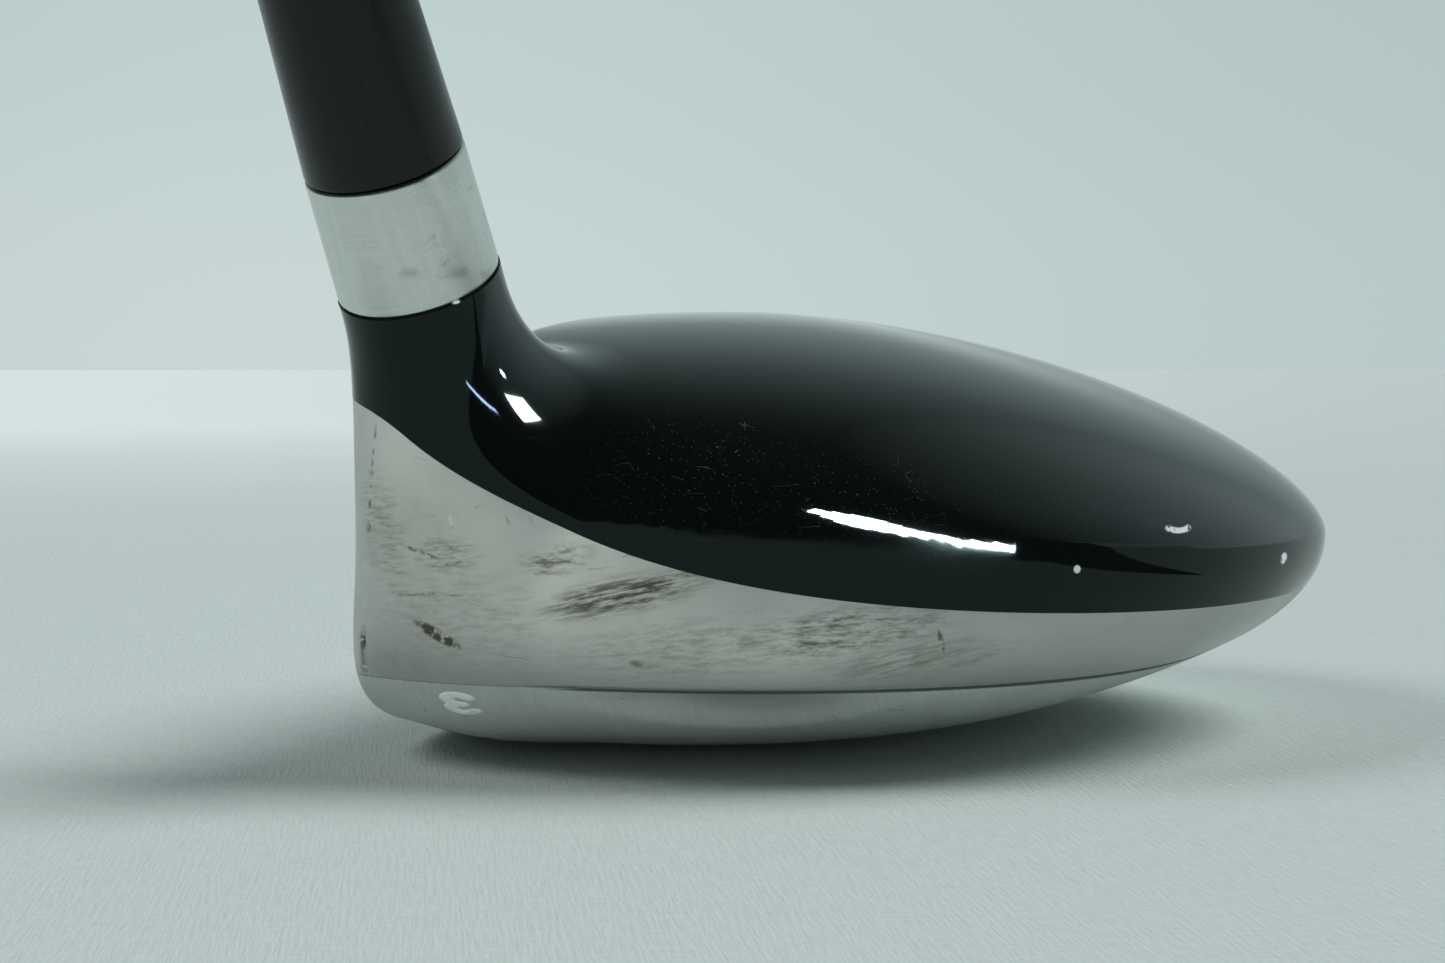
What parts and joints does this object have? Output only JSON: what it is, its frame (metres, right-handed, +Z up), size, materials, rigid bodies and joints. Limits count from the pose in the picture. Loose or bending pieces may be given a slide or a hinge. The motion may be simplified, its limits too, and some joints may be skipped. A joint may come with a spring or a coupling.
{
  "type": "fairway wood",
  "caption": "Fairway wood golf club with a hollow steel head, black crown and neck, bare hosel band, ferrule, tapered shaft and rubber grip.",
  "frame": {"origin": "centre of the flat spot that the sole rests on, with the club at address", "axes": "+X from heel to toe, +Y towards the target, +Z up; the shaft leans towards -X at a lie of 60 degrees"},
  "size_m": [0.6374, 0.0798, 0.9518],
  "materials": {
    "black_paint": "gloss",
    "cast_steel": "satin",
    "sole_steel": "satin",
    "bare_steel": "brushed",
    "face_steel": "brushed",
    "white_enamel": "satin",
    "weight_steel": "matte",
    "glue": "satin",
    "plug_plastic": "matte",
    "epoxy": "satin",
    "ferrule_plastic": "satin",
    "shaft_graphite": "gloss",
    "brass": "satin",
    "tape": "matte",
    "grip_rubber": "matte"
  },
  "bodies": {
    "root": {"crown_shell": "black_paint", "body_shell": "cast_steel", "sole_plate": "sole_steel", "face_plate": "face_steel", "numeral_inlay": "white_enamel", "rear_weight": "weight_steel", "rattle_glue": "glue", "hosel_tube": "bare_steel", "bore_plug": "plug_plastic", "epoxy_sleeve": "epoxy", "ferrule": "ferrule_plastic", "shaft": "shaft_graphite", "tip_weight": "brass", "grip_tape": "tape", "grip": "grip_rubber", "grip_cap": "grip_rubber"}
  },
  "joints": []
}
